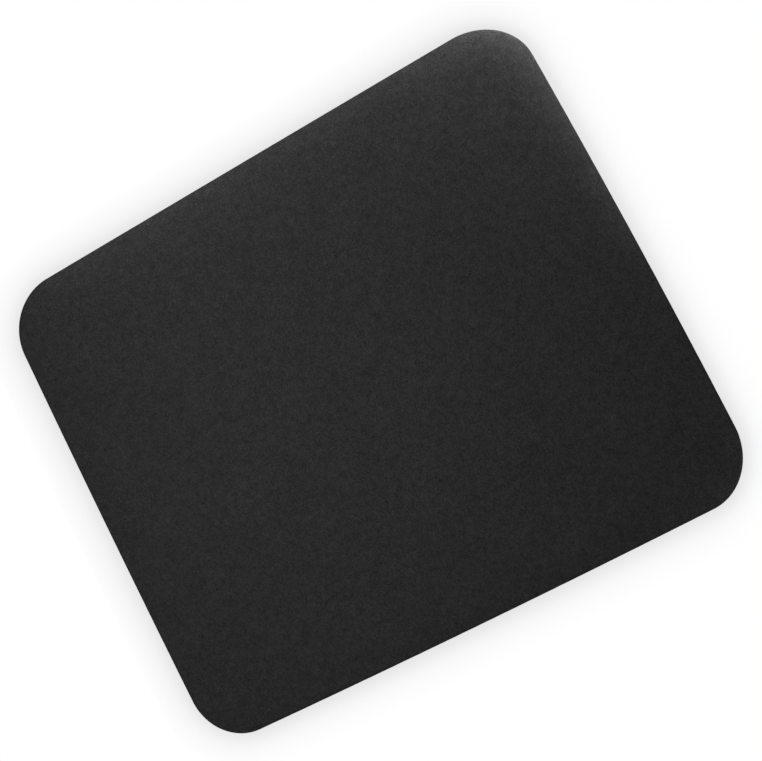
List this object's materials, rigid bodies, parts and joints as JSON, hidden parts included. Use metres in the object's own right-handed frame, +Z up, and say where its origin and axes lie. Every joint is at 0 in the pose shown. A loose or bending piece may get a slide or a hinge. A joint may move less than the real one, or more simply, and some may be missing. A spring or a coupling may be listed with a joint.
{
  "type": "mouse pad",
  "caption": "Flat rounded-rectangle mouse pad: black knit cloth bonded to a soft rubber sponge base with a non-slip underside.",
  "frame": {"origin": "middle of the underside, on the surface that the pad lies on", "axes": "+X along the long sides, +Y along the short sides away from the user, +Z up through the cloth"},
  "size_m": [0.235, 0.2, 0.005],
  "materials": {
    "knit_cloth": "matt black polyester knit with a faint sheen",
    "hot_melt": "dark hot-melt film, dull where it is cut",
    "rubber_sponge": "dull black sponge rubber, embossed underneath"
  },
  "bodies": {
    "root": {"face_cloth": "knit_cloth", "glue_film": "hot_melt", "sponge_base": "rubber_sponge"}
  },
  "joints": []
}
